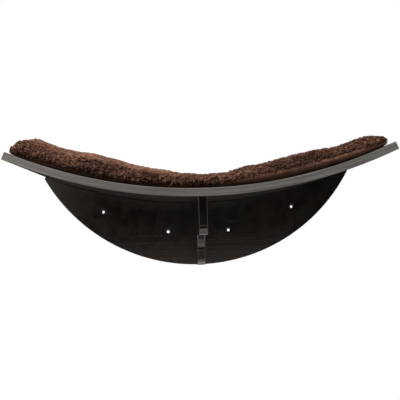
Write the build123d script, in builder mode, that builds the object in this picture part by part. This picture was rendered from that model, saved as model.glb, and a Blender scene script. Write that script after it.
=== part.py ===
"""A wall-mounted cat bed.

A bowed shelf board sits on a half-moon back panel and one ogee bracket, and a plush
cushion lies in its hollow. The wall is the plane y = 0, the bed stands out towards -Y,
+Z is up, and the origin is midway between the two outer wall-screw holes.
"""

from build123d import *
import os
from math import asin, atan2, cos, degrees, pi, radians, sin, sqrt, tan

os.makedirs("parts", exist_ok=True)

# Shelf board, bent upwards at both ends
shelf_width = 560
shelf_depth = 280
shelf_thickness = 11.5
shelf_radius = 691
shelf_edge_round = 1.2

# Back panel, flat on the wall under the shelf
panel_thickness = 12
panel_radius = 301
panel_drop = 107.5
panel_tip_round = 2.5
panel_edge_round = 1

# Wall-screw holes in the back panel
outer_hole_spacing = 328
inner_hole_spacing = 105
outer_hole_drop = 12
inner_hole_drop = 49.5
wall_hole_radius = 2.5
wall_sink_radius = 5.5

# Centre bracket
bracket_thickness = 12.7
bracket_reach = 267
nose_height = 54.5
nose_round = 14
nose_flat = 79
lobe_reach = 138
cove_height = 25.5
lobe_face = 13
foot_reach = 100
foot_curve_height = 11
bracket_edge_round = 1.2

# Wood screws
screw_length = 45
screw_radius = 2
screw_head_radius = 4
screw_tip = 6
screw_sink_angle = 90
screw_fit = 0.1
screw_head_sink = 0.3
recess_width = 0.9
recess_depth = 1.6
recess_reach_share = 0.6
screw_tip_share = 0.25
panel_screw_arcs = (-205, -72, 72, 205)
bracket_screw_depths = (88, 222)
rear_screw_drops = (24, 82)

# Hook pads on the shelf and loop pads under the cushion
pad_length = 50
pad_width = 20
pad_thickness = 1
pad_arcs = (-150, 150)
pad_depths = (76, 206)
pad_seat_gap = 0.1
pad_meeting_gap = 0.3

# Cushion
cushion_end_inset = 5
cushion_wall_inset = 7
cushion_front_inset = 6
cushion_height = 41
cushion_side_draw = 5
cushion_end_round = 18
cushion_corner_round = 10
seam_height = 12
cover_thickness = 1.6
filling_gap = 0.4
end_height_share = 0.55
tuck_share = 0.12
roll_share = 0.24
shoulder_share = 0.78
belly_share = 0.4

# The crown's height at places along the cushion, from its left end to its right
place_shares = (-1, -0.6, -0.36, -0.13, 0.02, 0.15, 0.35, 0.6, 0.8, 1)
height_shares = (0.86, 1, 0.86, 0.62, 0.52, 0.6, 0.78, 0.86, 0.76, 0.56)
body_steps = 24
end_steps = 5

# Worked out from the sizes above
shelf_bottom = outer_hole_drop
arc_height = shelf_bottom + shelf_radius
top_radius = shelf_radius - shelf_thickness
half_turn = degrees(asin(shelf_width / 2 / shelf_radius))
panel_centre_height = shelf_bottom - panel_drop + panel_radius
cushion_lift = 2 * (pad_seat_gap + pad_thickness) + pad_meeting_gap
cushion_radius = top_radius - cushion_lift
half_arc = radians(half_turn) * top_radius
cushion_half_length = half_arc - cushion_end_inset
sink_slope = tan(radians(screw_sink_angle / 2))
screw_head_height = (screw_head_radius - screw_radius) / sink_slope


def turn_of(arc):
    """The turn in degrees that a length of arc along the shelf's top makes."""
    return degrees(arc / top_radius)


def bent_outline(outer_radius, thickness, start_arc, end_arc, depth=0):
    """A closed strip between two arcs about the shelf's axis, from one arc length to another."""
    start = turn_of(start_arc) - 90
    size = turn_of(end_arc - start_arc)
    with BuildSketch(Plane.XZ.offset(depth)) as strip:
        with BuildLine():
            outer = CenterArc((0, arc_height), outer_radius, start, size)
            inner = CenterArc((0, arc_height), outer_radius - thickness, start, size)
            Line(outer @ 0, inner @ 0)
            Line(outer @ 1, inner @ 1)
        make_face()
    return strip.sketch


def bent_plane(radius, arc, depth):
    """A plane that touches a radius about the shelf's axis, facing that axis."""
    turn = radians(turn_of(arc))
    origin = (radius * sin(turn), -depth, arc_height - radius * cos(turn))
    return Plane(origin=origin, x_dir=(cos(turn), 0, sin(turn)), z_dir=(-sin(turn), 0, cos(turn)))


def drill(planes):
    """Clearance holes with a sunk mouth for the wood screws."""
    with Locations(*[plane.location for plane in planes]):
        CounterSinkHole(
            screw_radius + screw_fit,
            screw_head_radius + screw_head_sink * sink_slope + 2 * screw_fit,
            counter_sink_angle=screw_sink_angle,
        )


def pilot(planes):
    """Blind holes that the screws' shanks fill, in the board behind the first one."""
    with Locations(*[plane.location for plane in planes]):
        Cylinder(
            screw_radius + screw_fit,
            screw_length + screw_fit,
            align=(Align.CENTER, Align.CENTER, Align.MAX),
            mode=Mode.SUBTRACT,
        )


def screws(planes):
    """Countersunk wood screws with a crossed recess, heads just under the given planes."""
    down = (Align.CENTER, Align.CENTER, Align.MAX)
    slot = 2 * screw_head_radius * recess_reach_share
    shank = screw_length - screw_head_sink - screw_tip
    with Locations(*[plane.offset(-screw_head_sink).location for plane in planes]):
        Cylinder(screw_radius, shank, align=down)
        Cone(screw_radius, screw_head_radius, screw_head_height, align=down)
        Box(slot, recess_width, recess_depth, align=down, mode=Mode.SUBTRACT)
        Box(recess_width, slot, recess_depth, align=down, mode=Mode.SUBTRACT)
    with Locations(*[plane.offset(-screw_head_sink - shank).location for plane in planes]):
        Cone(screw_radius * screw_tip_share, screw_radius, screw_tip, align=down)


def pads(outer_radius):
    """One pad at each place, bent like the shelf."""
    for depth in pad_depths:
        for arc in pad_arcs:
            start, end = arc - pad_length / 2, arc + pad_length / 2
            near_side = depth - pad_width / 2
            extrude(bent_outline(outer_radius, pad_thickness, start, end, near_side), amount=pad_width)


def crown_share(place):
    """The crown's share of the cushion's height, eased between the places given above."""
    for i in range(1, len(place_shares)):
        if place <= place_shares[i]:
            break
    way = (place - place_shares[i - 1]) / (place_shares[i] - place_shares[i - 1])
    ease = (1 - cos(pi * way)) / 2
    return height_shares[i - 1] + (height_shares[i] - height_shares[i - 1]) * ease


def cushion_stations(inset):
    """Places along the cushion, each with how far the rounded end has closed in there."""
    straight = cushion_half_length - cushion_end_round
    closing = [radians(90 * step / end_steps) for step in range(1, end_steps + 1)]
    ends = [(straight + (cushion_end_round - inset) * sin(turn), 1 - cos(turn)) for turn in closing]
    body = [(straight * (2 * step / body_steps - 1), 0) for step in range(body_steps + 1)]
    return [(-arc, closed) for arc, closed in reversed(ends)] + body + ends


def cushion_form(inset):
    """The cushion's crowned form, drawn in by an inset on every side."""
    floor_radius = cushion_radius - inset
    with BuildPart() as form:
        for arc, closed in cushion_stations(inset):
            place = arc / cushion_half_length
            turn = radians(turn_of(arc))
            origin = (floor_radius * sin(turn), 0, arc_height - floor_radius * cos(turn))
            across = inset + (cushion_corner_round - inset) * closed + cushion_side_draw * (1 - place**2)
            back = cushion_wall_inset + across
            front = shelf_depth - cushion_front_inset - across
            height_share = crown_share(place) * (1 - closed + end_height_share * closed)
            height = cushion_height * height_share - 2 * inset
            shoulder = height * shoulder_share
            belly = height * belly_share
            tuck = height * tuck_share
            roll = height * roll_share
            facing = (-cos(turn), 0, -sin(turn))
            with BuildSketch(Plane(origin=origin, x_dir=(0, -1, 0), z_dir=facing)):
                with BuildLine():
                    under = Line((back + tuck, 0), (front - tuck, 0))
                    face = ThreePointArc(under @ 1, (front, belly), (front - roll, shoulder))
                    crown = ThreePointArc(face @ 1, ((back + front) / 2, height), (back + roll, shoulder))
                    ThreePointArc(crown @ 1, (back, belly), under @ 0)
                make_face()
        loft(ruled=True)
    return form.part


panel_screw_planes = [bent_plane(top_radius, arc, panel_thickness / 2) for arc in panel_screw_arcs]
bracket_screw_planes = [bent_plane(top_radius, 0, depth) for depth in bracket_screw_depths]
rear_screw_planes = [
    Plane(origin=(0, 0, shelf_bottom - drop), x_dir=(1, 0, 0), z_dir=(0, 1, 0))
    for drop in rear_screw_drops
]

# Shelf board
with BuildPart() as shelf_board:
    extrude(bent_outline(shelf_radius, shelf_thickness, -half_arc, half_arc), amount=shelf_depth)
    fillet(shelf_board.edges(), shelf_edge_round)
    drill(panel_screw_planes)
    drill(bracket_screw_planes)

# Back panel
meeting_rise = panel_centre_height - arc_height
meeting_height = (shelf_radius**2 - panel_radius**2 + meeting_rise**2) / (2 * meeting_rise)
meeting_half_width = sqrt(shelf_radius**2 - meeting_height**2)
top_half_turn = degrees(atan2(meeting_half_width, -meeting_height))
rim_half_turn = degrees(atan2(meeting_half_width, meeting_rise - meeting_height))

with BuildPart() as back_panel:
    with BuildSketch(Plane.XZ) as moon:
        with BuildLine():
            CenterArc((0, arc_height), shelf_radius, -90 - top_half_turn, 2 * top_half_turn)
            CenterArc((0, panel_centre_height), panel_radius, -90 - rim_half_turn, 2 * rim_half_turn)
        make_face()
        fillet(moon.vertices(), panel_tip_round)
    extrude(amount=panel_thickness)
    rim = back_panel.faces().sort_by(Axis.Y)[0].edges().sort_by(SortBy.LENGTH)[-1]
    fillet(rim, panel_edge_round)
    with Locations(Plane.XZ.offset(panel_thickness)):
        with Locations(
            (-outer_hole_spacing / 2, shelf_bottom - outer_hole_drop),
            (outer_hole_spacing / 2, shelf_bottom - outer_hole_drop),
            (-inner_hole_spacing / 2, shelf_bottom - inner_hole_drop),
            (inner_hole_spacing / 2, shelf_bottom - inner_hole_drop),
        ):
            CounterSinkHole(wall_hole_radius, wall_sink_radius, counter_sink_angle=screw_sink_angle)
    drill(rear_screw_planes)
    pilot(panel_screw_planes)

# Centre bracket
with BuildPart() as centre_bracket:
    with BuildSketch(Plane.YZ) as ogee:
        cove_start = bracket_reach - nose_round - nose_flat
        nose_bottom = shelf_bottom - nose_height
        lobe_top = nose_bottom - cove_height
        lobe_bottom = lobe_top - lobe_face
        foot = lobe_bottom - foot_curve_height
        with BuildLine():
            top = Line((-panel_thickness, shelf_bottom), (-bracket_reach, shelf_bottom))
            nose = Line(top @ 1, (-bracket_reach, nose_bottom + nose_round))
            CenterArc((-bracket_reach + nose_round, nose_bottom + nose_round), nose_round, 180, 90)
            Line((-bracket_reach + nose_round, nose_bottom), (-cove_start, nose_bottom))
            EllipticalCenterArc((-cove_start, lobe_top), cove_start - lobe_reach, cove_height)
            Line((-lobe_reach, lobe_top), (-lobe_reach, lobe_bottom))
            foot_curve_reach = lobe_reach - foot_reach
            EllipticalCenterArc((-foot_reach, lobe_bottom), foot_curve_reach, foot_curve_height, 180)
            Line((-foot_reach, foot), (-panel_thickness, foot))
            Line((-panel_thickness, foot), top @ 0)
        make_face()
    extrude(amount=bracket_thickness / 2, both=True)
    flanks = centre_bracket.faces().filter_by(Axis.X).edges()
    wall_end = centre_bracket.faces().sort_by(Axis.Y)[-1].edges()
    seat = centre_bracket.faces().sort_by(Axis.Z)[-1].edges()
    fillet(flanks - wall_end - seat, bracket_edge_round)
    pilot(bracket_screw_planes)
    pilot(rear_screw_planes)

# Screws
with BuildPart() as panel_screws:
    screws(panel_screw_planes)

with BuildPart() as bracket_top_screws:
    screws(bracket_screw_planes)

with BuildPart() as bracket_rear_screws:
    screws(rear_screw_planes)

# Hook and loop pads
with BuildPart() as hook_pads:
    pads(top_radius - pad_seat_gap)

with BuildPart() as loop_pads:
    pads(cushion_radius + pad_seat_gap + pad_thickness)

# Cushion cover and filling
cover_outside = cushion_form(0)
cover_inside = cushion_form(cover_thickness)
with BuildSketch(Plane.XZ) as above_seam:
    with Locations((0, arc_height)):
        Circle(cushion_radius - seam_height)

with BuildPart() as cushion_top_cover:
    add(cover_outside)
    add(cover_inside, mode=Mode.SUBTRACT)
    extrude(above_seam.sketch, amount=shelf_depth, mode=Mode.INTERSECT)

with BuildPart() as cushion_base_cover:
    add(cover_outside)
    add(cover_inside, mode=Mode.SUBTRACT)
    extrude(above_seam.sketch, amount=shelf_depth, mode=Mode.SUBTRACT)

with BuildPart() as cushion_filling:
    add(cushion_form(cover_thickness + filling_gap))

pieces = {
    "shelf_board": shelf_board,
    "back_panel": back_panel,
    "centre_bracket": centre_bracket,
    "panel_screws": panel_screws,
    "bracket_top_screws": bracket_top_screws,
    "bracket_rear_screws": bracket_rear_screws,
    "hook_pads": hook_pads,
    "loop_pads": loop_pads,
    "cushion_top_cover": cushion_top_cover,
    "cushion_base_cover": cushion_base_cover,
    "cushion_filling": cushion_filling,
}
for name, piece in pieces.items():
    piece.part.label = name
    export_step(piece.part, f"parts/{name}.step")
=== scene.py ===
"""The looks of a wall-mounted cat bed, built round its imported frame.

The wooden frame keeps its own shapes and gets painted-wood materials. The cushion's plain
solids are replaced by a padded body with a curly plush cover and a smooth cloth base.
Lengths are metres. Along the cushion, "arc" is measured on the shelf's bent top, "depth"
away from the wall and "height" up from the shelf. A "place" is an arc as a share of the
cushion's half length, from -1 at its left end to 1 at its right one.
"""

from math import atan2, cos, pi, radians, sin

import bmesh
import bpy
import numpy as np
from mathutils import Matrix, Vector, noise
from mathutils.kdtree import KDTree


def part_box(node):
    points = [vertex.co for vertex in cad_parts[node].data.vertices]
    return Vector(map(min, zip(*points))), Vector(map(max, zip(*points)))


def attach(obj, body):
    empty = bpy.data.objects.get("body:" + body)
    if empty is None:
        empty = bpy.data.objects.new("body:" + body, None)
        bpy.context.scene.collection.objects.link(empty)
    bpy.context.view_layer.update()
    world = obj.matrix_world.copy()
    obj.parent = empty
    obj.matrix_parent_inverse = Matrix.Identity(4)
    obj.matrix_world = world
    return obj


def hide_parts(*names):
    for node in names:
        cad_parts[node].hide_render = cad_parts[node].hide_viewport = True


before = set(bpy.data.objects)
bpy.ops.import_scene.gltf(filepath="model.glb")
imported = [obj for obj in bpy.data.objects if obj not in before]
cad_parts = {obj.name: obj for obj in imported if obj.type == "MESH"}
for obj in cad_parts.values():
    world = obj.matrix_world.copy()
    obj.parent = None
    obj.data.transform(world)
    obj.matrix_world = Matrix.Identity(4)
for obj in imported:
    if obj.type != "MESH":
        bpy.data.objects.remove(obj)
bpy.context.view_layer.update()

# The shelf's bend, and the cushion's place on it
shelf_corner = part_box("shelf_board")[0]
shelf_thickness = 0.0115
bottom_radius = 0.691
top_radius = bottom_radius - shelf_thickness
arc_height = shelf_corner.z + bottom_radius
shelf_depth = -shelf_corner.y
cushion_lift = 0.0025
cushion_half_length = 0.2785
wall_inset = 0.007
front_inset = 0.006
pad_end_arc = 0.177
pad_middle_depths = (0.076, 0.206)
pad_half_width = 0.01
pad_margin = 0.005

# The cushion's stuffed body, under its pile
body_inset = 0.003
pile_depth = 0.005
side_draw = 0.005
end_round = 0.021
corner_round = 0.011
left_end_stretch = 0.006
right_end_stretch = 0.002
end_height_share = 0.42
left_tuck_share = 0.48
right_tuck_share = 0.13
roll_share = 0.5
left_shoulder_share = 0.66
right_shoulder_share = 0.82
belly_share = 0.44
base_rest_share = 0.7
base_clearance = 0.0004
pad_clearance = 0.0002
settle_blend = 0.02
right_end_lift = 0.001
right_lift_start = 0.26
curve_steps = 60
cell = 0.0064
end_rings = 5
cap_rings = 2
smooth_levels = 2

# The crown's height over the shelf in millimetres, pile included, at places along the cushion
millimetres = 1000
crown = (
    (-1, 44.5), (-0.9, 41.8), (-0.8, 41), (-0.72, 42.8), (-0.6, 45.8), (-0.47, 43),
    (-0.35, 38.5), (-0.23, 35.5), (-0.1, 31), (0.01, 28), (0.13, 29), (0.26, 35),
    (0.5, 37.8), (0.63, 38), (0.74, 31.5), (0.83, 30), (0.9, 30.5), (1, 26.5),
)
crown_places, crown_heights = zip(*((place, height / millimetres) for place, height in crown))

# The seam, tucked low along the left half and higher between two places on the right one
left_seam_height = 0.0015
right_seam_height = 0.0125
seam_rise_end = 0.36
seam_fall_start = 0.75
seam_fall_share = 0.7
seam_groove = 0.0014

# The stuffing, blown up as cloth
pressure = 4
travel_cap = 0.004
last_frame = 20
cloth_quality = 4

# The base cloth's slack and unevenness, and the drop of the cover's sides when it is laid flat
slack_depth = 0.0007
slack_scale = 45
slack_stretch = (1, 0.35, 1)
uneven_depth = 0.0002
uneven_scale = 160
side_drop_height = 0.045
side_drop_power = 6

# The pile's clumps, and the cover's swells under them
clump_spacing = 0.0065
clump_depth = 0.0014
clump_slope = 1.5
clump_wobble = 0.25
wobble_scale = 320
clump_pull = 0.38
swell_depth = 0.002
swell_scale = 38
# Painted shade on the cover's ground under the pile, deepest in the hollows between clumps
painted_ground_shade = 0.16
painted_ground_shade_rise = 0.3

# The locks' sizes, and the seam's effect on them. A size's spread is the deviation of a power of e
lock_spacing = 0.002
lock_length = 0.0063
length_spread = 0.16
lock_width = 0.002
width_spread = 0.15
lock_rise = 0.0012
rise_spread = 0.25
middle_rise, edge_rise_loss = 1.25, 0.7
root_rise = 0.35
lock_turn = 3
least_turn_share, most_turn_share = 0.5, 1.25
seam_band = 0.012
seam_length_share = 0.55
seam_width_share = 0.7
ground_bend = 0.024
pile_clearance = 0.0012
seed = 7

# A lock's section sideways and up, and its girth at ways along it, as shares of its width
lock_steps = 4
lock_outline = ((-0.5, -0.1), (0, 0.32), (0.5, -0.1))
lock_taper = ((0, 0.2, 0.8, 1), (0.6, 1, 0.9, 0.6))

# The locks' directions in radians, swirled over their clumps or brushed one way
swirl_turn, swirl_scale = 1.6 * pi, 20
frizz_turn, frizz_scale = 2.6, 190
comb_turn, comb_sway, comb_scale = -0.4, 0.8, 12
turn_spread = 0.45
side_droop = 0.9

# Where the pile is brushed: in patches, more so towards the left, and all along the left half's top
patch_share, patch_slope, patch_scale = 0.8, 1.8, 16
left_patches = 0.45
left_patches_end, left_patches_full = 0.1, -0.15
top_normal_start, top_normal_full = 0.675, 0.925
top_end, top_full = 0.075, -0.05
brushed_length = 0.3

# The share of each thing that full brushing takes away
brushed_away = {
    "turn": 0.6,
    "rise": 0.6,
    "curl": 0.85,
    "pull": 0.5,
    "painted_light_form": 0.6,
    "painted_gaps": 0.7,
    "tone": 0.5,
}

# The locks' shade values, from 0 for the darkest to 1: random tones mixed with painted highlight and
# painted shade
mean_shade = 0.255
# Painted highlight on each lock's arch and ridge, painted shade at its root, tip and sides
painted_arch_highlight, painted_arch_base = 0.3, -0.18
painted_ridge_shades = (-0.1, 0.06, -0.1)
painted_tip_shade = -0.2
lock_shade_spread = 0.06
clump_shade_spread = 0.1
cloud_shade, cloud_scale = 0.16, 35
# Painted shade between the clumps, deeper further from each clump's middle
painted_gap_shade, gap_middle = 0.26, 0.35
# Painted shade low on the left half, just over the shelf, where the tucked-under side lies in shadow
painted_under_shade = 0.3
under_top, under_bottom = 0.007, 0.001
under_end, under_full = 0.15, 0.025
brushed_shade = 0.02
# Painted highlight along the left half's top strip, where light from above falls
painted_top_highlight = 0.28

# The boards' satin paint, and the sanded ply under it. A grain is a noise's scale along each axis
dark_paint = (0.0045, 0.0031, 0.0023)
light_paint = (0.0068, 0.005, 0.004)
cloudy_paint = (0.0084, 0.0064, 0.0052)
# Pale arrises: partly wear, partly a painted highlight where rounded edges catch the light
wear_and_highlight_paint = (0.16, 0.15, 0.138)
# Painted shade in the countersinks
painted_countersink_shade = (0.001, 0.0008, 0.0006)
paint_tint = (1, 0.85, 0.74, 1)
dark_ply = (0.1, 0.091, 0.083)
light_ply = (0.23, 0.214, 0.199)
shelf_grain = (7.0, 160.0, 420.0)
panel_grain = (7.0, 160.0, 160.0)
bracket_grain = (160.0, 160.0, 9.0)
ply_grain = (11.0, 60.0, 620.0)
pore_share = 3.2
arris_radius = 0.0016
grain_depth = 0.00012
pore_depth = 0.00005

# Camera, floor and lamps
focal_length = 71.09
clip_start, clip_end = 0.05, 50
camera_place = Vector((-0.0403, -1.3835, -0.0323))
camera_yaw = radians(1.863)
camera_pitch = radians(2.017)
camera_roll = radians(-1.719)
floor_height = -0.75
floor_radius = 1.0
floor_sides = 96
fade_start_share, fade_end_share = 0.45, 0.97
world_level = 0.15
white = (1, 1, 1, 1)
floor_grey = (0.82, 0.82, 0.82, 1)
card_black = (0.01, 0.01, 0.01, 1)
lamp_target = Vector((0, -0.14, 0))

# Each lamp's name, place, size and power
lamps = (
    ("key_lamp", (-0.7, -0.85, 1.7), 0.9, 38),
    ("fill_lamp", (1.3, -0.95, 0.55), 0.7, 6),
    ("left_lamp", (-0.8, -0.65, 0.3), 0.3, 2),
    ("low_lamp", (0, -0.5, -0.7), 0.8, 2.5),
)

# Each card's name, its Y, and its limits in X and Z
dark_cards = (
    ("front_card", -2.8, (-0.63, 1.7), (-0.18, 3)),
    ("low_card", -2.8, (-1.7, 1.7), (-3, -0.62)),
    ("rear_card", 1.3, (-4, 4), (-0.8, 0.6)),
)

# The least length that is divided by
tiny = 1e-12


def eased(way):
    """A smooth step from 0 to 1."""
    way = np.clip(way, 0, 1)
    return way * way * (3 - 2 * way)


def between(value, start, end):
    """A smooth step from 0 where the value is at the start to 1 where it is at the end."""
    return eased((value - start) / (end - start))


def unit(vectors):
    return vectors / np.maximum(np.linalg.norm(vectors, axis=-1, keepdims=True), tiny)


def bent(points):
    """Points given as arc, depth and height, set in the row frame."""
    arc, depth, height = np.asarray(points, float).T
    turn = arc / top_radius
    radius = top_radius - height
    return np.stack([radius * np.sin(turn), -depth, arc_height - radius * np.cos(turn)], 1)


def rolling_noise(points, scale, variant):
    """Smooth noise from about -1 to 1 at each point, with features 1/scale metres wide."""
    shift = Vector((variant, 2 * variant, 3 * variant))
    return np.array([noise.noise(Vector(p) * scale + shift) for p in points])


def crown_height(place):
    """The crown's height over the shelf, pile included, eased between the places given above."""
    after = int(np.clip(np.searchsorted(crown_places, place), 1, len(crown_places) - 1))
    low, high = crown_heights[after - 1 : after + 1]
    return low + (high - low) * between(place, *crown_places[after - 1 : after + 1])


def seam_height(arc):
    """The seam's height over the shelf."""
    place = arc / cushion_half_length
    rise = between(place, 0, seam_rise_end) * (1 - seam_fall_share * between(place, seam_fall_start, 1))
    return left_seam_height + (right_seam_height - left_seam_height) * rise


def curve_through(start, middle, end, steps):
    """Points on the circle through three points, from the first to the last."""
    (ax, ay), (bx, by), (cx, cy) = start, middle, end
    d = 2 * (ax * (by - cy) + bx * (cy - ay) + cx * (ay - by))
    a2, b2, c2 = ax * ax + ay * ay, bx * bx + by * by, cx * cx + cy * cy
    ux = (a2 * (by - cy) + b2 * (cy - ay) + c2 * (ay - by)) / d
    uy = (a2 * (cx - bx) + b2 * (ax - cx) + c2 * (bx - ax)) / d
    first, mid, last = (atan2(y - uy, x - ux) for x, y in (start, middle, end))
    turn = (last - first) % (2 * pi)
    if (mid - first) % (2 * pi) > turn:
        turn -= 2 * pi
    radius = ((ax - ux) ** 2 + (ay - uy) ** 2) ** 0.5
    turns = first + turn * np.linspace(0, 1, steps)
    return np.stack([ux + radius * np.cos(turns), uy + radius * np.sin(turns)], 1)


def spaced(line, count):
    """A polyline's points, set evenly along it."""
    run = np.concatenate([[0], np.cumsum(np.linalg.norm(np.diff(line, axis=0), axis=1))])
    at = np.linspace(0, run[-1], count + 1)
    return np.stack([np.interp(at, run, x) for x in line.T], 1)


def section(arc, closed, top_count, base_count):
    """The section as depth and height, from the front seam over the crown and back under the base."""
    place = arc / cushion_half_length
    across = body_inset + (corner_round - body_inset) * closed + side_draw * (1 - place**2)
    back = wall_inset + across
    front = shelf_depth - front_inset - across
    height = (crown_height(place) - pile_depth) * (1 - closed + end_height_share * closed)
    rightness = between(place, -1, 1)
    tuck = height * (left_tuck_share + (right_tuck_share - left_tuck_share) * rightness)
    shoulder = height * (left_shoulder_share + (right_shoulder_share - left_shoulder_share) * rightness)
    belly, roll = height * belly_share, height * roll_share
    face = curve_through((front - tuck, 0), (front, belly), (front - roll, shoulder), curve_steps)
    top = curve_through(face[-1], ((front + back) / 2, height), (back + roll, shoulder), curve_steps)
    rear = curve_through(top[-1], (back, belly), (back + tuck, 0), curve_steps)
    loop = np.concatenate([face, top[1:], rear[1:]])
    seam = min(seam_height(arc), (belly + shoulder) / 2)
    above = np.flatnonzero(loop[:, 1] > seam)
    cover = spaced(loop[above[0] : above[-1] + 1], top_count)
    base = spaced(np.concatenate([loop[above[-1] :], loop[: above[0] + 1]]), base_count)
    return np.concatenate([cover[:-1], base[:-1]])


def cushion_rings():
    """The stuffed body as rings of points round its sections, with shrinking rings that close its ends."""
    straight = cushion_half_length - end_round
    closing = [radians(90 * step / end_rings) for step in range(1, end_rings + 1)]
    ends = [(straight + (end_round - body_inset) * sin(turn), 1 - cos(turn)) for turn in closing]
    body_count = round(2 * straight / cell)
    body = [(straight * (2 * step / body_count - 1), 0) for step in range(body_count + 1)]
    width = shelf_depth - wall_inset - front_inset
    top_count = round((width + max(crown_heights)) / cell)
    base_count = round((width + right_seam_height) / cell)
    rings = []
    for arc, closed in [(-arc, closed) for arc, closed in reversed(ends)] + body + ends:
        loop = section(arc, closed, top_count, base_count)
        rings.append(np.column_stack([np.full(len(loop), arc), loop]))
    for at in (0, -1):
        edge = rings[at]
        middle = (edge[0] + edge[top_count]) / 2
        shares = [1 - step / (cap_rings + 1) for step in range(1, cap_rings + 1)]
        cap = [middle + (edge - middle) * share for share in shares]
        rings = cap[::-1] + rings if at == 0 else rings + cap
    return np.array(rings), top_count


def end_middles(rings, top_count):
    """The points that close the two ends, midway between their seams."""
    return [(ring[0] + ring[top_count]) / 2 for ring in (rings[0], rings[-1])]


def ring_faces(ring_count, around):
    """Quads between the rings, and fans that close both ends on two more points."""
    quads = []
    for i in range(ring_count - 1):
        for j in range(around):
            k = (j + 1) % around
            quads.append((i * around + j, i * around + k, (i + 1) * around + k, (i + 1) * around + j))
    low, high = ring_count * around, ring_count * around + 1
    last = (ring_count - 1) * around
    fans = [(j, low, (j + 1) % around) for j in range(around)]
    fans += [(last + (j + 1) % around, high, last + j) for j in range(around)]
    return quads, fans


def mesh_object(name, points, faces):
    mesh = bpy.data.meshes.new(name)
    mesh.from_pydata([tuple(p) for p in points], [], faces)
    mesh.update()
    made = bpy.data.objects.new(name, mesh)
    bpy.context.scene.collection.objects.link(made)
    return made


def points_of(mesh):
    found = np.empty(len(mesh.vertices) * 3)
    mesh.vertices.foreach_get("co", found)
    return found.reshape(-1, 3)


def normals_of(mesh):
    found = np.empty(len(mesh.vertices) * 3, np.float32)
    mesh.vertex_normals.foreach_get("vector", found)
    return found.reshape(-1, 3).astype(float)


def corners_of(mesh):
    """The point that each of the faces' corners stands on."""
    found = np.empty(len(mesh.loops), np.int32)
    mesh.loops.foreach_get("vertex_index", found)
    return found


def set_points(mesh, points):
    mesh.vertices.foreach_set("co", np.asarray(points, np.float32).ravel())
    mesh.update()


def set_values(mesh, name, values):
    """A named number on each point, for the materials."""
    held = mesh.attributes.new(name, "FLOAT", "POINT")
    held.data.foreach_set("value", np.asarray(values, np.float32))


def values_of(mesh, name):
    found = np.empty(len(mesh.vertices), np.float32)
    mesh.attributes[name].data.foreach_get("value", found)
    return found.astype(float)


def evaluated(made):
    """The object's mesh with its modifiers applied, as a new mesh."""
    graph = bpy.context.evaluated_depsgraph_get()
    return bpy.data.meshes.new_from_object(made.evaluated_get(graph), depsgraph=graph)


def puff(made):
    """Blows the stuffed body up a little as cloth, with each point's travel capped."""
    start = points_of(made.data)
    cloth = made.modifiers.new("stuffing", "CLOTH")
    cloth.settings.use_pressure = True
    cloth.settings.uniform_pressure_force = pressure
    cloth.settings.effector_weights.gravity = 0
    cloth.settings.quality = cloth_quality
    scene = bpy.context.scene
    scene.frame_start, scene.frame_end = 1, last_frame
    for step in range(1, last_frame + 1):
        scene.frame_set(step)
    blown = evaluated(made)
    travel = points_of(blown) - start
    bpy.data.meshes.remove(blown)
    made.modifiers.remove(cloth)
    scene.frame_set(1)
    length = np.linalg.norm(travel, axis=1, keepdims=True)
    travel *= np.tanh(length / travel_cap) * travel_cap / np.maximum(length, tiny)
    set_points(made.data, start + travel)


def rested(rings, top_count):
    """Sets each ring's base down on the shelf, its crown at its own height, and the ends at full length."""
    arcs = rings[:, :, 0]
    for side, stretch in ((arcs < 0, left_end_stretch), (arcs > 0, right_end_stretch)):
        arcs[side] *= (cushion_half_length - body_inset + stretch) / np.abs(arcs[side]).max()
    low = np.quantile(rings[:, top_count:, 2], base_rest_share, axis=1)
    low[:cap_rings], low[-cap_rings:] = low[cap_rings], low[-1 - cap_rings]
    closing = cap_rings + end_rings
    full = slice(closing, -closing)
    inner = rings[full]
    places = inner[:, :, 0].mean(1) / cushion_half_length
    wanted = [crown_height(place) - pile_depth for place in places]
    grow = np.array(wanted) / (inner[:, :, 2].max(1) - low[full])
    grow = np.pad(grow, closing, "edge")
    rings[:, :, 2] = (rings[:, :, 2] - low[:, None]) * grow[:, None]
    return rings


def lifted(points):
    """The cushion's right end curls up off the shelf a little."""
    lift = right_end_lift * between(points[:, 0], right_lift_start, cushion_half_length) ** 2
    return points + np.outer(lift, (0, 0, 1))


def settled(points):
    """Keeps the base above the shelf and the pads."""
    arc, depth, height = points.T
    near_pad = np.zeros(len(points))
    for middle in pad_middle_depths:
        off = np.maximum(np.abs(depth - middle) - pad_half_width - pad_margin, 0)
        near_pad = np.maximum(near_pad, 1 - between(off, 0, settle_blend))
    near_pad *= 1 - between(np.abs(arc) - pad_end_arc, 0, settle_blend)
    floor = base_clearance + (cushion_lift + pad_clearance - base_clearance) * near_pad
    return np.stack([arc, depth, np.maximum(height, floor)], 1)


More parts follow.
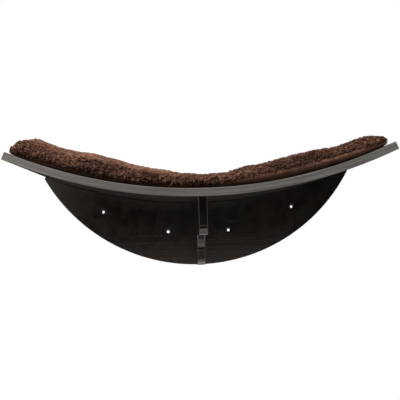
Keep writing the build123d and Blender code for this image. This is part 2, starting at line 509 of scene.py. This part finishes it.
def stuffed_body():
    """The cushion's closed body in arc, depth and height, with its faces marked as cover or base."""
    rings, top_count = cushion_rings()
    around = rings.shape[1]
    quads, fans = ring_faces(len(rings), around)
    points = np.concatenate([rings.reshape(-1, 3), end_middles(rings, top_count)])
    made = mesh_object("cushion_body", points, quads + fans)
    puff(made)
    blown = rested(points_of(made.data)[:-2].reshape(rings.shape), top_count)
    points = np.concatenate([blown.reshape(-1, 3), end_middles(blown, top_count)])
    set_points(made.data, lifted(settled(points)))
    column = [face[0] % around for face in quads] + list(range(around)) * 2
    made.data.polygons.foreach_set("material_index", [int(j >= top_count) for j in column])
    for slot in ("cover", "base"):
        made.data.materials.append(bpy.data.materials.new(slot))
    on_seam = np.zeros(len(made.data.vertices))
    for i in range(len(rings)):
        on_seam[i * around] = on_seam[i * around + top_count] = 1
    on_seam[-2:] = 1
    set_values(made.data, "seam", on_seam)
    smooth = made.modifiers.new("smooth", "SUBSURF")
    smooth.levels = smooth.render_levels = smooth_levels
    fine = evaluated(made)
    bpy.data.objects.remove(made)
    pull = eased(values_of(fine, "seam"))[:, None] * seam_groove
    set_points(fine, settled(points_of(fine) - normals_of(fine) * pull))
    return fine


def faces_of(mesh, mark):
    """The corner points of the body's faces that carry a mark, 0 for the cover and 1 for the base."""
    marks = np.empty(len(mesh.polygons), np.int32)
    mesh.polygons.foreach_get("material_index", marks)
    return corners_of(mesh).reshape(-1, 4)[marks == mark]


def rim_pairs(faces, points):
    """Pairs of points across the open rim, walked from one end of the cushion to the other."""
    edges = np.sort(np.concatenate([faces[:, [k, (k + 1) % 4]] for k in range(4)]), 1)
    edges, count = np.unique(edges, axis=0, return_counts=True)
    beside = {}
    for a, b in edges[count == 1]:
        beside.setdefault(int(a), []).append(int(b))
        beside.setdefault(int(b), []).append(int(a))
    rim = np.array(sorted(beside))
    middle = (points[rim, 1].min() + points[rim, 1].max()) / 2
    start = rim[np.argmin(np.abs(points[rim, 1] - middle) + (points[rim, 0] > 0))]
    left, right = beside[int(start)]
    pairs, before = [(start, start)], (start, start)
    while left != right:
        pairs.append((left, right))
        walks = ((left, before[0]), (right, before[1]))
        ahead = [next(n for n in beside[at] if n != last) for at, last in walks]
        before, (left, right) = (left, right), ahead
    return pairs + [(left, right)]


def half_body(mesh, mark, name, relief):
    """One half of the stuffed body as a closed piece, in arc, depth and height."""
    kept, faces = np.unique(faces_of(mesh, mark), return_inverse=True)
    faces = faces.reshape(-1, 4)
    points, normals, seam = points_of(mesh)[kept], normals_of(mesh)[kept], values_of(mesh, "seam")[kept]
    height = relief(points) * (1 - eased(seam))
    points = points + normals * height[:, None]
    pairs = rim_pairs(faces, points)
    closing = [list(dict.fromkeys((a, c, d, b))) for (a, b), (c, d) in zip(pairs, pairs[1:])]
    made = mesh_object(name, points, [tuple(f) for f in faces] + closing)
    shape = bmesh.new()
    shape.from_mesh(made.data)
    shape.faces.ensure_lookup_table()
    for face in shape.faces:
        face.smooth = face.index < len(faces)
    for face in shape.faces[len(faces) :]:
        for edge in face.edges:
            edge.smooth = False
    bmesh.ops.recalc_face_normals(shape, faces=shape.faces)
    shape.to_mesh(made.data)
    shape.free()
    set_values(made.data, "raised", height)
    return made


def face_outward(mesh):
    """Turns a closed mesh's faces outward, where the volume that they hold is negative."""
    mesh.calc_loop_triangles()
    corners = np.empty(3 * len(mesh.loop_triangles), np.int32)
    mesh.loop_triangles.foreach_get("vertices", corners)
    a, b, c = (points_of(mesh)[corners[k::3]] for k in range(3))
    if (a * np.cross(b, c)).sum() < 0:
        mesh.flip_normals()


def clump_offsets(points, clumps):
    """Each point's nearest clump, and its way off that clump's middle as a share of the spacing."""
    tree = KDTree(len(clumps))
    for n, place in enumerate(clumps):
        tree.insert(place, n)
    tree.balance()
    found = [tree.find(point)[1:] for point in points]
    return np.array([n for n, _ in found]), np.array([off for _, off in found]) / clump_spacing


def cloth_relief(points):
    """Faint slack in the base cloth, longer across the cushion than along it."""
    slack = slack_depth * rolling_noise(points * slack_stretch, slack_scale, seed + 2)
    return slack + uneven_depth * rolling_noise(points, uneven_scale, seed + 3)


def unrolled(points):
    """Where points lie on the cover laid flat: along it, and across it down both sides."""
    arc, depth, height = points.T
    middle, half = shelf_depth / 2, (shelf_depth - wall_inset - front_inset) / 2
    side = (depth - middle) / half
    drop = np.clip(side_drop_height - height, 0, None) * np.abs(side) ** side_drop_power
    return np.stack([arc, depth - middle + np.sign(side) * drop], 1)


def set_flat_map(mesh, flat):
    """A texture map laid out as the cover laid flat, from each point's place there."""
    layer = mesh.uv_layers.new(name="OFBake")
    low, size = flat.min(0), np.ptp(flat, axis=0).max()
    layer.uv.foreach_set("vector", ((flat - low) / size)[corners_of(mesh)].astype(np.float32).ravel())


def scattered(points, faces, spacing, rng):
    """Places on the faces about a spacing apart, with their normals."""
    a, b, c, d = (points[faces[:, k]] for k in range(4))
    normals = unit(np.cross(c - a, d - b))
    across, along = rng.uniform(0, 1, (2, len(faces), 1))
    places = (a * (1 - across) + b * across) * (1 - along) + (d * (1 - across) + c * across) * along
    held, chosen = {}, []
    near = [(i, j, k) for i in (-1, 0, 1) for j in (-1, 0, 1) for k in (-1, 0, 1)]
    cells = np.floor(places / spacing).astype(int).tolist()
    for n in rng.permutation(len(places)).tolist():
        x, y, z = cells[n]
        place = places[n]
        for i, j, k in near:
            other = held.get((x + i, y + j, z + k))
            if other is not None and ((places[other] - place) ** 2).sum() < spacing * spacing:
                break
        else:
            held[(x, y, z)] = n
            chosen.append(n)
    return places[chosen], normals[chosen]


def left_over(thing, brushed):
    """The share of a thing that brushing leaves."""
    return 1 - brushed_away[thing] * brushed


def brushing(roots, normals, middles):
    """How far each lock is brushed flat, and how far it belongs to the left half's top."""
    arc = roots[:, 0]
    patches = patch_slope * rolling_noise(middles, patch_scale, seed + 7)
    leftwards = left_patches * between(arc, left_patches_end, left_patches_full)
    on_top = between(normals[:, 2], top_normal_start, top_normal_full) * between(arc, top_end, top_full)
    return np.maximum(patch_share * eased(patches + leftwards), on_top), on_top


def lock_lines(roots, normals, middles, off, brushed, rng):
    """The locks' middle lines over the cover, and their widths."""
    count = len(roots)
    swirl = swirl_turn * rolling_noise(middles, swirl_scale, seed + 4)
    swirl += frizz_turn * rolling_noise(middles, frizz_scale, seed + 5)
    combed = comb_turn + comb_sway * rolling_noise(middles, comb_scale, seed + 8)
    turn = swirl * (1 - brushed) + combed * brushed
    turn += rng.normal(0, turn_spread, count) * left_over("turn", brushed)
    along = np.stack([np.cos(turn), np.sin(turn), np.zeros(count)], 1)
    along[:, 2] -= side_droop * (1 - np.abs(normals[:, 2]))
    along = unit(along - normals * (along * normals).sum(1, keepdims=True))
    across = np.cross(normals, along)
    near_seam = between(roots[:, 2] - seam_height(roots[:, 0]), 0, seam_band)
    length = lock_length * np.exp(rng.normal(0, length_spread, count))
    length *= (seam_length_share + (1 - seam_length_share) * near_seam) * (1 + brushed_length * brushed)
    rise = lock_rise * np.exp(rng.normal(0, rise_spread, count))
    rise *= (middle_rise - edge_rise_loss * np.clip(off, 0, 1)) * left_over("rise", brushed)
    curl = lock_turn * rng.uniform(least_turn_share, most_turn_share, count) * left_over("curl", brushed)
    radius = length / curl
    hand = rng.choice((-1, 1), count)
    width = lock_width * np.exp(rng.normal(0, width_spread, count))
    width *= seam_width_share + (1 - seam_width_share) * near_seam
    pull = (middles - roots) * (clump_pull * left_over("pull", brushed))[:, None]
    lines = np.empty((count, lock_steps + 1, 3))
    for k, way in enumerate(np.linspace(0, 1, lock_steps + 1)):
        forward = radius * np.sin(curl * way)
        sway = hand * radius * (1 - np.cos(curl * way))
        up = rise * (np.sin(pi * way) + root_rise) - (forward**2 + sway**2) / (2 * ground_bend)
        lines[:, k] = roots + along * forward[:, None] + normals * up[:, None]
        lines[:, k] += across * sway[:, None] + pull * way
    return lines, width


def lock_walls(lines, width, normals):
    """The points round each lock's line, with its tip last."""
    forward = unit(np.gradient(lines, axis=1))
    sideways = unit(np.cross(normals[:, None], forward))
    upward = np.cross(forward, sideways)
    girth = width[:, None] * np.interp(np.linspace(0, 1, lock_steps + 1), *lock_taper)
    wall = np.stack([sideways * side + upward * up for side, up in lock_outline], 2)
    rings = (lines[:, :, None] + wall * girth[:, :, None, None])[:, :-1]
    return np.concatenate([rings.reshape(len(lines), -1, 3), lines[:, -1:]], 1)


def lock_faces(count):
    """The faces of a number of closed locks, whose points follow one another."""
    sides = len(lock_outline)
    one = []
    for k in range(lock_steps - 1):
        low, high = sides * k, sides * (k + 1)
        for i in range(sides):
            j = (i + 1) % sides
            one.append((low + i, low + j, high + j, high + i))
    last, tip = sides * (lock_steps - 1), sides * lock_steps
    one += [(last + i, last + (i + 1) % sides, tip) for i in range(sides)]
    one.append(tuple(reversed(range(sides))))
    starts = range(0, count * (tip + 1), tip + 1)
    return [tuple(n + start for n in face) for start in starts for face in one]


def lock_shades(roots, middles, tones, off, brushed, on_top, rng):
    """Lock shades: painted highlight on arches, painted shade at tips, between clumps and low on the left.
    """
    # Painted highlight on the arch tops and ridges, painted shade at roots, tips and sides
    arch = painted_arch_highlight * np.sin(pi * np.linspace(0, 1, lock_steps + 1)[:-1]) + painted_arch_base
    painted_light_form = np.append(np.repeat(arch, len(lock_outline)) + np.tile(painted_ridge_shades, lock_steps), painted_tip_shade)
    clouds = cloud_shade * rolling_noise(middles, cloud_scale, seed + 6)
    toned = (tones + clouds) * left_over("tone", brushed)
    # Painted shade between clumps
    painted_gaps = painted_gap_shade * (np.clip(off, 0, 1) - gap_middle) * left_over("painted_gaps", brushed)
    # Painted shade low on the left half, near the shelf
    under = painted_under_shade * (1 - between(roots[:, 2], under_bottom, under_top))
    under *= between(roots[:, 0], under_end, under_full)
    # Painted highlight on the left half's top strip
    toned += brushed_shade * brushed + painted_top_highlight * on_top - painted_gaps - under
    toned += rng.normal(0, lock_shade_spread, len(roots))
    return mean_shade + painted_light_form * left_over("painted_light_form", brushed)[:, None] + toned[:, None]


def locks(name, roots, normals, clumps, rng):
    """Curved, tapering locks of pile, each a closed three-sided tuft that leans over its clump."""
    count, sides = len(roots), len(lock_outline)
    clump, off = clump_offsets(roots, clumps)
    middles = clumps[clump]
    brushed, on_top = brushing(roots, normals, middles)
    lines, width = lock_lines(roots, normals, middles, off, brushed, rng)
    points = lock_walls(lines, width, normals).reshape(-1, 3)
    tones = rng.normal(0, clump_shade_spread, len(clumps))[clump]
    shade = lock_shades(roots, middles, tones, off, brushed, on_top, rng)
    strand = np.empty((count, sides * lock_steps + 1, 3))
    strand[:, :, 0] = np.append(np.tile(np.linspace(0, 1, sides), lock_steps), 0.5)
    strand[:, :, 1] = np.append(np.repeat(np.linspace(0, 1, lock_steps + 1)[:-1], sides), 1)
    strand[:, :, 2] = rng.uniform(0, 1, count)[:, None]
    points[:, 2] = np.maximum(points[:, 2], pile_clearance)
    points[:, 1] = np.clip(points[:, 1], pile_clearance, shelf_depth + pile_clearance)
    made = mesh_object(name, bent(points), lock_faces(count))
    made.data.polygons.foreach_set("use_smooth", [True] * len(made.data.polygons))
    set_values(made.data, "shade", shade.ravel())
    held = made.data.attributes.new("strand", "FLOAT_VECTOR", "POINT")
    held.data.foreach_set("vector", strand.astype(np.float32).ravel())
    set_flat_map(made.data, unrolled(points))
    return made


def add_node(tree, kind, inputs, output=0, **settings):
    """Adds a node, and gives one of its outputs. An input is a value or another node's output."""
    made = tree.nodes.new("ShaderNode" + kind)
    for key, value in settings.items():
        setattr(made, key, value)
    for key, value in inputs.items():
        if isinstance(value, bpy.types.NodeSocket):
            tree.links.new(value, made.inputs[key])
        else:
            made.inputs[key].default_value = value
    return made.outputs[output]


class Surface:
    """A procedural material, with short ways to add nodes and join them."""

    # Where nearly all of a noise's values lie
    noise_low, noise_high = 0.3, 0.7

    def __init__(self, name, fixed):
        self.material = bpy.data.materials.new(name)
        self.material.use_nodes = True
        self.tree = self.material.node_tree
        self.shader = self.tree.nodes["Principled BSDF"]
        for socket, value in fixed.items():
            self.shader.inputs[socket].default_value = value
        self.place = self.node("TexCoord", {}, "Object")

    def node(self, kind, inputs, output=0, **settings):
        return add_node(self.tree, kind, inputs, output, **settings)

    def maths(self, operation, first, second=0.0):
        return self.node("Math", {0: first, 1: second}, operation=operation)

    def parts(self, vector):
        """A vector's three numbers."""
        made = self.tree.nodes.new("ShaderNodeSeparateXYZ")
        self.tree.links.new(vector, made.inputs["Vector"])
        return made.outputs

    def between(self, value, low, high, new_low=0.0, new_high=1.0):
        """A value's smooth way from low to high, set between two other values."""
        inputs = {"Value": value, "From Min": low, "From Max": high, "To Min": new_low, "To Max": new_high}
        return self.node("MapRange", inputs, interpolation_type="SMOOTHSTEP")

    def spread(self, value, new_low=0.0, new_high=1.0):
        """A noise's usual values, spread between two others."""
        return self.between(value, self.noise_low, self.noise_high, new_low, new_high)

    def noise(self, vector, scale, detail, rough=0.55):
        """Noise with a scale of its own along each axis, or one for all."""
        if isinstance(scale, tuple):
            vector, scale = self.node("Mapping", {"Vector": vector, "Scale": scale}), 1.0
        inputs = {"Vector": vector, "Scale": scale, "Detail": detail, "Roughness": rough}
        return self.node("TexNoise", inputs)

    def ramp(self, factor, *stops):
        """A colour ramp from (place, colour) pairs, or from two colours at its ends."""
        if len(stops) == 2:
            stops = tuple(enumerate(stops))
        made = self.tree.nodes.new("ShaderNodeValToRGB")
        elements = made.color_ramp.elements
        while len(elements) < len(stops):
            elements.new(1)
        for element, (place, colour) in zip(elements, stops):
            element.position, element.color = place, (*colour, 1)
        self.tree.links.new(factor, made.inputs["Fac"])
        return made.outputs["Color"]

    def mix(self, factor, under, colour):
        """A colour, plain or another node's, laid over the one under it."""
        if not isinstance(colour, bpy.types.NodeSocket):
            colour = (*colour, 1)
        return self.node("Mix", {0: factor, 6: under, 7: colour}, 2, data_type="RGBA")

    def bump(self, height, distance, strength, **under):
        return self.node("Bump", {"Height": height, "Distance": distance, "Strength": strength, **under})

    def finish(self, colour, roughness, normal):
        for socket, value in (("Base Color", colour), ("Roughness", roughness), ("Normal", normal)):
            self.tree.links.new(value, self.shader.inputs[socket])
        return self.material


def painted_board(name, grain, bent_grain=False, pale_edge=False, sunk_holes=False):
    """Satin espresso paint over wood, with faint grain and pale arrises, partly wear and partly painted
    highlight.

    A pale edge has sanded ply under thin paint. Sunk holes get painted shade and a duller finish in their
    countersinks.
    """
    made = Surface(name, {"Specular IOR Level": 0.5, "Specular Tint": paint_tint})
    place = made.place
    if bent_grain:
        x, y, z = made.parts(place)
        below = made.maths("SUBTRACT", arc_height, z)
        arc = made.maths("MULTIPLY", made.maths("ARCTAN2", x, below), top_radius)
        squares = made.maths("ADD", made.maths("MULTIPLY", x, x), made.maths("MULTIPLY", below, below))
        place = made.node("CombineXYZ", {"X": arc, "Y": y, "Z": made.maths("SQRT", squares)})
    lines = made.noise(place, grain, detail=5.0, rough=0.6)
    clouds = made.noise(place, scale=14.0, detail=2.0)
    pores = made.noise(place, tuple(pore_share * g for g in grain), detail=2.0)
    colour = made.ramp(made.spread(lines), dark_paint, light_paint)
    colour = made.mix(made.spread(clouds, new_high=0.3), colour, cloudy_paint)
    if pale_edge:
        nx, ny, _ = made.parts(made.node("TexCoord", {}, "Normal"))
        facing = made.maths("MAXIMUM", made.maths("ABSOLUTE", nx), made.maths("ABSOLUTE", ny))
        streaks = made.noise(place, ply_grain, detail=5.0, rough=0.7)
        ply = made.ramp(made.between(streaks, 0.32, 0.68), dark_ply, light_ply)
        colour = made.mix(made.between(facing, 0.5, 0.85), colour, ply)
    rounded = made.node("Bevel", {"Radius": arris_radius}, samples=6)
    true = made.node("NewGeometry", {}, "Normal")
    bend = made.node("VectorMath", {0: rounded, 1: true}, "Value", operation="DOT_PRODUCT")
    scuffs = made.noise(place, scale=130.0, detail=4.0, rough=0.7)
    scuffed = made.between(scuffs, 0.35, 0.65, new_low=0.15, new_high=0.6)
    # Pale rubbed arrises, partly wear and partly painted highlight
    wear_and_highlight = made.maths("MULTIPLY", made.between(bend, 0.98, 0.8), scuffed)
    colour = made.mix(wear_and_highlight, colour, wear_and_highlight_paint)
    smears = made.noise(place, scale=55.0, detail=3.0)
    roughness = made.spread(smears, new_low=0.14, new_high=0.19)
    if sunk_holes:
        tilt = made.maths("ABSOLUTE", made.parts(true)[1])
        sunk = made.maths("MULTIPLY", made.between(tilt, 0.2, 0.4), made.between(tilt, 0.95, 0.85))
        # Painted shade in the countersinks, with a duller finish there
        colour = made.mix(sunk, colour, painted_countersink_shade)
        roughness = made.maths("MAXIMUM", roughness, made.maths("MULTIPLY", sunk, 0.6))
    pored = made.bump(pores, pore_depth, strength=0.5)
    return made.finish(colour, roughness, made.bump(lines, grain_depth, strength=0.6, Normal=pored))


def pile_material(name, strands):
    """Curly plush: painted-shade roots and warm brown curls, with fine fibres along each lock or over the
    ground.
    """
    stops = (
        (0.0, (0.028, 0.0125, 0.008)),
        (0.25, (0.075, 0.032, 0.02)),
        (0.5, (0.19, 0.086, 0.052)),
        (0.78, (0.34, 0.18, 0.118)),
        (1.0, (0.46, 0.28, 0.2)),
    )
    sheen = {"Sheen Weight": 0.2, "Sheen Roughness": 0.5, "Sheen Tint": (0.7, 0.38, 0.28, 1)}
    drift_share, speck_share, fibre_share, fibre_depth = 0.1, 0.06, 0.1, 0.0005
    made = Surface(name, {"Specular IOR Level": 0.1, **sheen})
    value = made.node("Attribute", {}, "Fac", attribute_name="shade")
    drift = made.noise(made.place, scale=22.0, detail=2.0)
    specks = made.noise(made.place, scale=900.0, detail=2.0)
    if strands:
        run = made.node("Attribute", {}, "Vector", attribute_name="strand")
        fibres = made.noise(run, scale=(16.0, 2.5, 40.0), detail=3.0, rough=0.6)
    else:
        fibres = made.noise(made.place, scale=2400.0, detail=1.0)
    for part, most in ((drift, drift_share), (specks, speck_share), (fibres, fibre_share)):
        value = made.maths("ADD", value, made.spread(part, -most, most))
    roughness = made.between(specks, 0.2, 0.8, new_low=0.7, new_high=0.9)
    return made.finish(made.ramp(value, *stops), roughness, made.bump(fibres, fibre_depth, strength=0.8))


def cloth_material(name):
    """Smooth brushed cloth with a fine nap and soft blotches."""
    dark, light = (0.125, 0.06, 0.038), (0.24, 0.123, 0.081)
    sheen = {"Sheen Weight": 0.2, "Sheen Roughness": 0.4, "Sheen Tint": (0.7, 0.42, 0.32, 1)}
    blotch_share, nap_depth = 0.7, 0.0002
    made = Surface(name, {"Specular IOR Level": 0.15, **sheen})
    blotches = made.noise(made.place, scale=(60.0, 60.0, 120.0), detail=4.0, rough=0.6)
    nap = made.noise(made.place, scale=1400.0, detail=2.0)
    both = made.maths("MULTIPLY", blotches, blotch_share), made.maths("MULTIPLY", nap, 1 - blotch_share)
    colour = made.ramp(made.spread(made.maths("ADD", *both)), dark, light)
    roughness = made.spread(nap, new_low=0.75, new_high=0.92)
    return made.finish(colour, roughness, made.bump(nap, nap_depth, strength=0.5))


def zinc(name):
    """Zinc-plated steel with a dulled, uneven shine."""
    dull, bright, pit_depth = (0.5, 0.49, 0.46), (0.7, 0.69, 0.66), 0.00005
    made = Surface(name, {"Metallic": 1.0})
    cloud = made.noise(made.place, scale=420.0, detail=4.0)
    colour = made.ramp(made.spread(cloud), dull, bright)
    roughness = made.spread(cloud, new_low=0.28, new_high=0.45)
    return made.finish(colour, roughness, made.bump(cloud, pit_depth, strength=0.4))


def tape(name, colour, density, sheen):
    """Hook or loop tape: rows of stiff little hooks, or a mat of soft loops with a sheen."""
    dark_share, spot_share, fuzz_depth = 0.45, -0.6, 0.0004
    made = Surface(name, {"Specular IOR Level": 0.35, "Sheen Weight": sheen})
    spots = made.node("TexVoronoi", {"Vector": made.place, "Scale": density})
    fuzz = made.noise(made.place, scale=1800.0, detail=3.0)
    tone = made.maths("ADD", made.maths("MULTIPLY", spots, spot_share), fuzz)
    shade = made.ramp(made.between(tone, -0.1, 0.6), tuple(dark_share * c for c in colour), colour)
    roughness = made.spread(fuzz, new_low=0.55, new_high=0.8)
    return made.finish(shade, roughness, made.bump(tone, fuzz_depth, strength=0.7))


def wear(node, material):
    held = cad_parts[node].data.materials
    held.clear()
    held.append(material)


def dressed_frame():
    """The finishes of the pieces that keep their own shape."""
    wear("shelf_board", painted_board("shelf_paint", shelf_grain, bent_grain=True, pale_edge=True))
    wear("back_panel", painted_board("panel_paint", panel_grain, sunk_holes=True))
    wear("centre_bracket", painted_board("bracket_paint", bracket_grain))
    metal = zinc("zinc_plate")
    for node in ("panel_screws", "bracket_top_screws", "bracket_rear_screws"):
        wear(node, metal)
    wear("hook_pads", tape("hook_tape", (0.045, 0.04, 0.036), density=900.0, sheen=0.0))
    wear("loop_pads", tape("loop_tape", (0.06, 0.052, 0.047), density=1300.0, sheen=0.3))


def dressed_cushion():
    """The plush cover with its pile, and the cloth base, in place of the plain solids."""
    rng = np.random.default_rng(seed)
    body = stuffed_body()
    clumps, _ = scattered(points_of(body), faces_of(body, 0), clump_spacing, rng)

    def clump_relief(points):
        off = clump_offsets(points, clumps)[1]
        swells = swell_depth * rolling_noise(points, swell_scale, seed + 9)
        wobble = clump_wobble * rolling_noise(points, wobble_scale, seed)
        return swells + clump_depth * (1 - eased(clump_slope * off) + wobble)

    cover = half_body(body, 0, "plush_cover", clump_relief)
    base = half_body(body, 1, "cloth_base", cloth_relief)
    roots, normals = scattered(points_of(body), faces_of(body, 0), lock_spacing, rng)
    roots += normals * clump_relief(roots)[:, None]
    pile = pile_material("plush_locks", True)
    sides = ("left", "left_middle", "right_middle", "right")
    edges = np.quantile(roots[:, 0], np.linspace(0, 1, len(sides) + 1))
    for side, low, high in zip(sides, edges, edges[1:]):
        there = (roots[:, 0] >= low) & ((roots[:, 0] < high) | (high == edges[-1]))
        made = locks(f"plush_pile_{side}", roots[there], normals[there], clumps, rng)
        made.data.materials.append(pile)
        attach(made, "cushion")
    raised = values_of(cover.data, "raised")
    # Painted shade on the ground, deepest where it is least raised
    set_values(cover.data, "shade", painted_ground_shade + painted_ground_shade_rise * raised / clump_depth)
    for made, mirroring in ((cover, 1), (base, -1)):
        laid = points_of(made.data)
        set_flat_map(made.data, unrolled(laid) * (1, mirroring))
        set_points(made.data, bent(laid))
        face_outward(made.data)
        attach(made, "cushion")
    cover.data.materials.append(pile_material("plush_ground", False))
    base.data.materials.append(cloth_material("brushed_cloth"))
    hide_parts("cushion_top_cover", "cushion_filling")
    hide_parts("cushion_base_cover")


def camera():
    """The photograph's view."""
    scene = bpy.context.scene
    made = bpy.data.objects.new("camera", bpy.data.cameras.new("camera"))
    made.data.lens = focal_length
    made.data.clip_start, made.data.clip_end = clip_start, clip_end
    turned = Matrix.Rotation(-camera_yaw, 4, "Z") @ Matrix.Rotation(pi / 2 + camera_pitch, 4, "X")
    made.matrix_world = Matrix.Translation(camera_place) @ turned @ Matrix.Rotation(camera_roll, 4, "Z")
    scene.collection.objects.link(made)
    scene.camera = made


def white_world():
    """A plain, even light, seen as white by the camera and in reflections."""
    world = bpy.data.worlds.new("white_ground")
    world.use_nodes = True
    bpy.context.scene.world = world
    tree = world.node_tree
    kinds = ("Camera", "Glossy", "Transmission")
    rays = [add_node(tree, "LightPath", {}, f"Is {kind} Ray") for kind in kinds]
    seen = add_node(tree, "Math", {0: rays[0], 1: rays[1]}, operation="ADD")
    seen = add_node(tree, "Math", {0: seen, 1: rays[2]}, operation="ADD", use_clamp=True)
    lit = tree.nodes["Background"]
    lit.inputs["Color"].default_value, lit.inputs["Strength"].default_value = white, world_level
    shown = add_node(tree, "Background", {"Color": white, "Strength": 1.0})
    either = add_node(tree, "MixShader", {0: seen, 1: lit.outputs[0], 2: shown})
    tree.links.new(either, tree.nodes["World Output"].inputs["Surface"])


def soft_lamps():
    """Square lamps round the bed, turned towards its middle."""
    for name, place, size, energy in lamps:
        lamp = bpy.data.objects.new(name, bpy.data.lights.new(name, "AREA"))
        lamp.data.size, lamp.data.energy = size, energy
        turned = (Vector(place) - lamp_target).to_track_quat("Z", "Y").to_matrix().to_4x4()
        lamp.matrix_world = Matrix.Translation(Vector(place)) @ turned
        lamp.visible_camera = False
        bpy.context.scene.collection.objects.link(lamp)


def pale_floor():
    """A round, pale floor under the bed, which fades into the white ground and is white in reflections."""
    turns = [2 * pi * k / floor_sides for k in range(floor_sides)]
    rim = [(floor_radius * cos(turn), floor_radius * sin(turn), 0) for turn in turns]
    floor = mesh_object("floor", rim, [tuple(range(floor_sides))])
    floor.location = (0, -shelf_depth / 2, floor_height)
    pale = Surface("pale_floor", {"Base Color": floor_grey, "Roughness": 0.9, "Specular IOR Level": 0.1})
    span = pale.node("VectorMath", {0: pale.place}, "Value", operation="LENGTH")
    fade = pale.between(span, fade_start_share * floor_radius, fade_end_share * floor_radius)
    mirrored = pale.node("LightPath", {}, "Is Glossy Ray")
    shining = pale.node("Emission", {"Color": white, "Strength": 1.0})
    plain = pale.node("MixShader", {0: mirrored, 1: pale.shader.outputs[0], 2: shining})
    mixed = pale.node("MixShader", {0: fade, 1: plain, 2: pale.node("BsdfTransparent", {})})
    pale.tree.links.new(mixed, pale.tree.nodes["Material Output"].inputs["Surface"])
    floor.data.materials.append(pale.material)


def black_cards():
    """Black cards in front and behind, which only reflections show."""
    black = Surface("black_card", {"Base Color": card_black, "Roughness": 1.0, "Specular IOR Level": 0.0})
    for name, y, (left, right), (bottom, top) in dark_cards:
        corners = ((left, y, bottom), (right, y, bottom), (right, y, top), (left, y, top))
        card = mesh_object(name, corners, [(0, 1, 2, 3)])
        card.visible_camera = card.visible_diffuse = card.visible_shadow = False
        card.data.materials.append(black.material)


bpy.context.scene.view_settings.view_transform = "Standard"
dressed_frame()
dressed_cushion()
camera()
white_world()
soft_lamps()
pale_floor()
black_cards()
